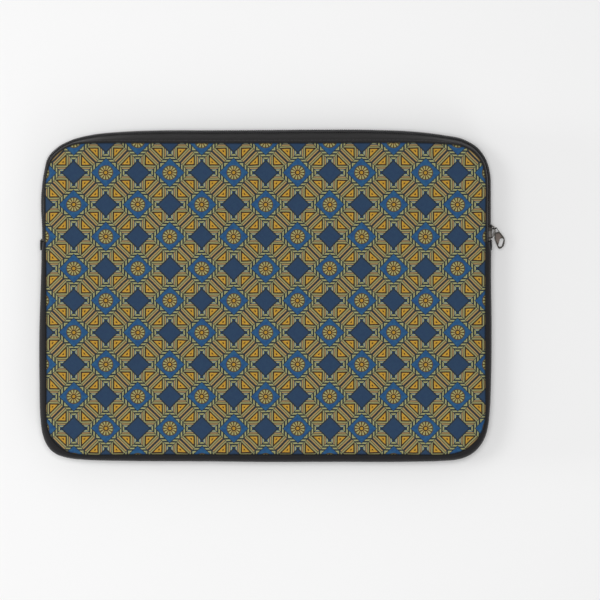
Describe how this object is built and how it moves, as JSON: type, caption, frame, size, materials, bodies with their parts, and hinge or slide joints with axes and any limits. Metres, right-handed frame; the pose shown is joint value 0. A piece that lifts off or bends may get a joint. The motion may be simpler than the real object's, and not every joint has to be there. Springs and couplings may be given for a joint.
{
  "type": "laptop sleeve",
  "caption": "Flat padded laptop sleeve with a printed cloth front, dark edge band, open three-sided coil zip, slider with hanging pull tab and a front that folds open.",
  "frame": {"origin": "centre of the back face that the sleeve rests on", "axes": "+Z through the thickness from the back to the printed front, +Y towards the zipped mouth, +X to the right seen from the front"},
  "size_m": [0.3618, 0.2562, 0.026],
  "materials": {
    "printed_fabric": "matte woven canvas with a printed tile pattern in blue, navy, gold and olive",
    "foam": "soft cellular padding",
    "lining": "short brushed pile",
    "band_fabric": "matte ribbed webbing",
    "zip_tape": "fine ribbed woven tape",
    "zip_coil": "satin nylon monofilament",
    "zip_metal": "black nickel",
    "pull_metal": "gunmetal, satin face and worn rim",
    "label": "blank satin label"
  },
  "bodies": {
    "root": {"front_panel_lower": "printed_fabric", "front_foam_lower": "foam", "front_lining_lower": "lining", "back_panel": "printed_fabric", "back_foam": "foam", "back_lining": "lining", "gusset_outer": "band_fabric", "gusset_foam": "foam", "gusset_lining": "lining", "inner_binding_front": "band_fabric", "inner_binding_back": "band_fabric", "zip_tape_front_ends": "zip_tape", "zip_coil_front_ends": "zip_coil", "zip_tape_back": "zip_tape", "zip_coil_back": "zip_coil", "zip_end_tab_right": "band_fabric", "zip_end_tab_left": "band_fabric", "zip_stop_right": "zip_metal", "zip_stop_left": "zip_metal", "care_label": "label"},
    "front_flap": {"front_panel_flap": "printed_fabric", "front_foam_flap": "foam", "front_lining_flap": "lining", "inner_binding_flap": "band_fabric", "zip_tape_front_flap": "zip_tape", "zip_coil_front_flap": "zip_coil"},
    "slider": {"slider_body": "zip_metal", "slider_bridge": "zip_metal"},
    "link": {"pull_link": "zip_metal"},
    "pull": {"pull_tab": "pull_metal"}
  },
  "joints": [
    {"name": "front_flap_fold", "type": "hinge", "parent": "root", "child": "front_flap", "pos_m": [0, 0.057, 0.026], "axis": [1, 0, 0], "range_deg": [0, 45]},
    {"name": "slider_slide", "type": "slide", "parent": "root", "child": "slider", "axis": [0, 1, 0], "range_m": [0, 0.026]},
    {"name": "pull_link_flip", "type": "hinge", "parent": "slider", "child": "link", "pos_m": [0.1774, 0.0524, 0.013], "axis": [0, 1, 0], "range_deg": [-35, 35]},
    {"name": "pull_tab_swing", "type": "hinge", "parent": "link", "child": "pull", "pos_m": [0.17902, 0.0524, 0.01293], "axis": [0.0538, -0.2008, 0.9781], "range_deg": [0, 120]}
  ]
}
